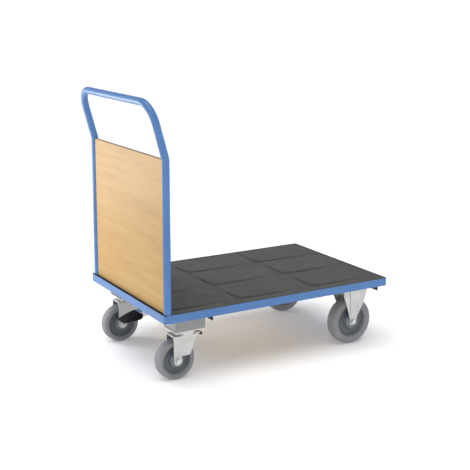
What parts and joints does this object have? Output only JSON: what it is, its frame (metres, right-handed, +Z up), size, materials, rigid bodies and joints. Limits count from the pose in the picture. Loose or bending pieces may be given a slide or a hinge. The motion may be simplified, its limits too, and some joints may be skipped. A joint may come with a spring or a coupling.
{
  "type": "platform truck",
  "caption": "Flatbed platform truck: angle-steel deck with anti-slip covering, leaning tubular push bow with wood end panel, fixed and swivel castors, central foot brake.",
  "frame": {"origin": "on the floor below the centre of the overall outline", "axes": "+X along the deck towards its open end (push bow at -X), +Y to the left side, +Z up"},
  "size_m": [1.1014, 0.7, 1.1003],
  "materials": {
    "blue_powder_coat": "semi-gloss powder coat",
    "dark_primed_steel": "dark satin primer on flat steel",
    "board_core": "raw derived-timber board",
    "anti_slip_covering": "matt embossed anti-slip covering",
    "beech_decor_board": "satin beech decor",
    "dark_edge_band": "matt edge band",
    "grey_elastic_tyre": "matt non-marking thermoplastic rubber",
    "grey_rim_plastic": "matt moulded nylon",
    "black_pedal_plastic": "textured black nylon",
    "bush_plastic": "matt bearing plastic",
    "zinc_plated_sheet": "zinc-plated pressed sheet steel",
    "bright_zinc_fasteners": "zinc-plated turned and rolled steel"
  },
  "bodies": {
    "truck": {"side_rails": "blue_powder_coat", "end_rails": "blue_powder_coat", "cross_plates": "blue_powder_coat", "stiffener_bars": "dark_primed_steel", "deck_board": "board_core", "deck_mat": "anti_slip_covering", "bow_legs": "blue_powder_coat", "bow_top": "blue_powder_coat", "bow_plugs": "bright_zinc_fasteners", "bow_screws": "bright_zinc_fasteners", "end_panel": "beech_decor_board", "panel_edge_band": "dark_edge_band", "panel_lugs": "blue_powder_coat", "panel_screws": "bright_zinc_fasteners", "deck_screws": "bright_zinc_fasteners", "housing_left": "zinc_plated_sheet", "housing_right": "zinc_plated_sheet", "swivel_plate_left": "zinc_plated_sheet", "swivel_plate_right": "zinc_plated_sheet", "kingpin_left": "bright_zinc_fasteners", "kingpin_right": "bright_zinc_fasteners", "kingpin_nuts": "bright_zinc_fasteners", "swivel_castor_bolts": "bright_zinc_fasteners", "fixed_castor_bolts": "bright_zinc_fasteners", "castor_nuts": "bright_zinc_fasteners", "fixed_fork_left": "zinc_plated_sheet", "fixed_fork_right": "zinc_plated_sheet", "fixed_axles": "bright_zinc_fasteners", "fixed_sleeves": "bright_zinc_fasteners", "shaft_bracket": "zinc_plated_sheet"},
    "swivel_wheel_left": {"swivel_tyre_left": "grey_elastic_tyre", "swivel_rim_left": "grey_rim_plastic", "swivel_bearings_left": "bright_zinc_fasteners"},
    "swivel_wheel_right": {"swivel_tyre_right": "grey_elastic_tyre", "swivel_rim_right": "grey_rim_plastic", "swivel_bearings_right": "bright_zinc_fasteners"},
    "fixed_wheel_left": {"fixed_tyre_left": "grey_elastic_tyre", "fixed_rim_left": "grey_rim_plastic", "fixed_bearings_left": "bright_zinc_fasteners"},
    "fixed_wheel_right": {"fixed_tyre_right": "grey_elastic_tyre", "fixed_rim_right": "grey_rim_plastic", "fixed_bearings_right": "bright_zinc_fasteners"},
    "swivel_body_left": {"swivel_fork_left": "zinc_plated_sheet", "swivel_balls_left": "bright_zinc_fasteners", "swivel_axle_left": "bright_zinc_fasteners", "swivel_sleeves_left": "bright_zinc_fasteners"},
    "plunger_body_left": {"plunger_left": "bright_zinc_fasteners"},
    "shoe_body_left": {"brake_shoe_left": "bright_zinc_fasteners"},
    "swivel_body_right": {"swivel_fork_right": "zinc_plated_sheet", "swivel_balls_right": "bright_zinc_fasteners", "swivel_axle_right": "bright_zinc_fasteners", "swivel_sleeves_right": "bright_zinc_fasteners"},
    "plunger_body_right": {"plunger_right": "bright_zinc_fasteners"},
    "shoe_body_right": {"brake_shoe_right": "bright_zinc_fasteners"},
    "pedal": {"brake_shaft": "bright_zinc_fasteners", "brake_fingers": "bright_zinc_fasteners", "shaft_bushes": "bush_plastic", "pedal_arm": "zinc_plated_sheet", "pedal_tread": "black_pedal_plastic"}
  },
  "joints": [
    {"name": "swivel_left", "type": "hinge", "parent": "truck", "child": "swivel_body_left", "pos_m": [-0.37, 0.2585, 0.18], "axis": [0, 0, 1], "continuous": true},
    {"name": "swivel_wheel_spin_left", "type": "hinge", "parent": "swivel_body_left", "child": "swivel_wheel_left", "pos_m": [-0.415, 0.2585, 0.08], "axis": [0, 1, 0], "continuous": true},
    {"name": "fixed_wheel_spin_left", "type": "hinge", "parent": "truck", "child": "fixed_wheel_left", "pos_m": [0.42, 0.2585, 0.1], "axis": [0, 1, 0], "continuous": true},
    {"name": "swivel_right", "type": "hinge", "parent": "truck", "child": "swivel_body_right", "pos_m": [-0.37, -0.2585, 0.18], "axis": [0, 0, 1], "continuous": true},
    {"name": "swivel_wheel_spin_right", "type": "hinge", "parent": "swivel_body_right", "child": "swivel_wheel_right", "pos_m": [-0.415, -0.2585, 0.08], "axis": [0, 1, 0], "continuous": true},
    {"name": "fixed_wheel_spin_right", "type": "hinge", "parent": "truck", "child": "fixed_wheel_right", "pos_m": [0.42, -0.2585, 0.1], "axis": [0, 1, 0], "continuous": true},
    {"name": "brake_pedal", "type": "hinge", "parent": "truck", "child": "pedal", "pos_m": [-0.354, 0, 0.229], "axis": [0, -1, 0], "range_deg": [0, 18]},
    {"name": "plunger_slide_left", "type": "slide", "parent": "truck", "child": "plunger_body_left", "axis": [0, 0, -1], "range_m": [0, 0.00475]},
    {"name": "shoe_press_left", "type": "hinge", "parent": "swivel_body_left", "child": "shoe_body_left", "pos_m": [-0.345, 0.2585, 0.164], "axis": [0, -1, 0], "range_deg": [0, 10.9]},
    {"name": "plunger_slide_right", "type": "slide", "parent": "truck", "child": "plunger_body_right", "axis": [0, 0, -1], "range_m": [0, 0.00475]},
    {"name": "shoe_press_right", "type": "hinge", "parent": "swivel_body_right", "child": "shoe_body_right", "pos_m": [-0.345, -0.2585, 0.164], "axis": [0, -1, 0], "range_deg": [0, 10.9]}
  ],
  "couplings": [
    {"joint": "plunger_slide_left", "follows": "brake_pedal", "m_per_rad": 0.015},
    {"joint": "shoe_press_left", "follows": "brake_pedal", "ratio": 0.6},
    {"joint": "plunger_slide_right", "follows": "brake_pedal", "m_per_rad": 0.015},
    {"joint": "shoe_press_right", "follows": "brake_pedal", "ratio": 0.6}
  ]
}
